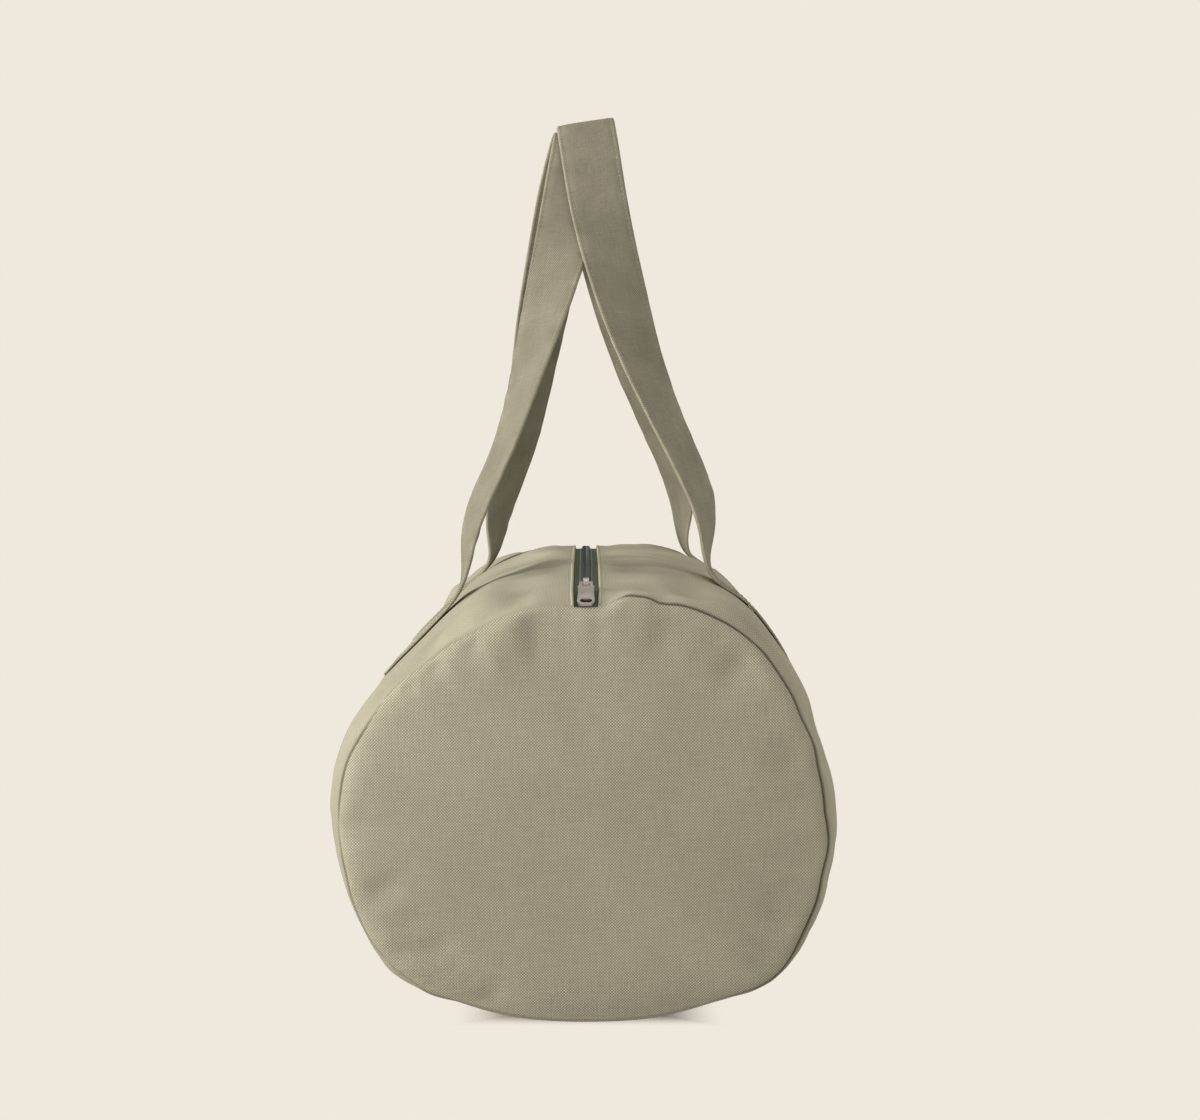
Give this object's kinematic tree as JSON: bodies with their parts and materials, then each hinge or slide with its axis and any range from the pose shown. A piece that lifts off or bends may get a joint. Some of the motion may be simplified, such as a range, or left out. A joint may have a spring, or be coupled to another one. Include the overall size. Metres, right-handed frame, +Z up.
{
  "type": "barrel bag",
  "caption": "Barrel-shaped canvas holdall lying on its side, with sewn round end panels, a zipped mouth along the top, a metal pull tab and twin strap handles",
  "frame": {"origin": "on the floor under the middle of the barrel, at the bottom centre of the bounding box", "axes": "+Z up; the barrel lies along Y with the closed slider's end at -Y, which faces the viewer in the picture; +X is the picture's right"},
  "size_m": [0.275, 0.4792, 0.5275],
  "materials": {
    "canvas": "matte",
    "thread": "matte",
    "binding": "matte",
    "zip_tape": "matte",
    "zip_coil": "satin",
    "nickel": "satin"
  },
  "bodies": {
    "bag": {"barrel_wall": "canvas", "front_end_panel": "canvas", "rear_end_panel": "canvas", "front_seam_binding": "binding", "rear_seam_binding": "binding", "left_front_strap_end": "canvas", "left_rear_strap_end": "canvas", "right_front_strap_end": "canvas", "right_rear_strap_end": "canvas", "strap_end_stitching": "thread", "front_zip_tape_ends": "zip_tape", "rear_zip_tape_ends": "zip_tape", "front_zip_coil_ends": "zip_coil", "rear_zip_coil_ends": "zip_coil"},
    "left_mouth": {"left_mouth_flap": "canvas", "left_zip_tape": "zip_tape", "left_zip_coil": "zip_coil"},
    "right_mouth": {"right_mouth_flap": "canvas", "right_zip_tape": "zip_tape", "right_zip_coil": "zip_coil"},
    "left_loop": {"left_handle": "canvas"},
    "right_loop": {"right_handle": "canvas"},
    "slider": {"slider_body": "nickel"},
    "pull": {"pull_tab": "nickel"}
  },
  "joints": [
    {"name": "slider_travel", "type": "slide", "parent": "bag", "child": "slider", "axis": [0, 1, 0], "range_m": [0, 0.41], "deforming": ["left_zip_tape", "right_zip_tape", "front_zip_tape_ends", "rear_zip_tape_ends", "left_zip_coil", "right_zip_coil", "front_zip_coil_ends", "rear_zip_coil_ends"]},
    {"name": "left_mouth_open", "type": "hinge", "parent": "bag", "child": "left_mouth", "pos_m": [-0.056, 0, 0.23856], "axis": [0, -1, 0], "range_deg": [0, 60]},
    {"name": "right_mouth_open", "type": "hinge", "parent": "bag", "child": "right_mouth", "pos_m": [0.056, 0, 0.23856], "axis": [0, 1, 0], "range_deg": [0, 60]},
    {"name": "left_handle_drop", "type": "hinge", "parent": "bag", "child": "left_loop", "pos_m": [-0.07043, 0, 0.23834], "axis": [0, -1, 0], "range_deg": [0, 104]},
    {"name": "right_handle_drop", "type": "hinge", "parent": "bag", "child": "right_loop", "pos_m": [0.07043, 0, 0.23834], "axis": [0, 1, 0], "range_deg": [0, 104]},
    {"name": "pull_swing", "type": "hinge", "parent": "slider", "child": "pull", "pos_m": [0, -0.2104, 0.2483], "axis": [-1, 0, 0], "range_deg": [0, 150]}
  ],
  "couplings": [
    {"joint": "left_mouth_open", "follows": "slider_travel", "rad_per_m": 2.55},
    {"joint": "right_mouth_open", "follows": "slider_travel", "rad_per_m": 2.55}
  ]
}
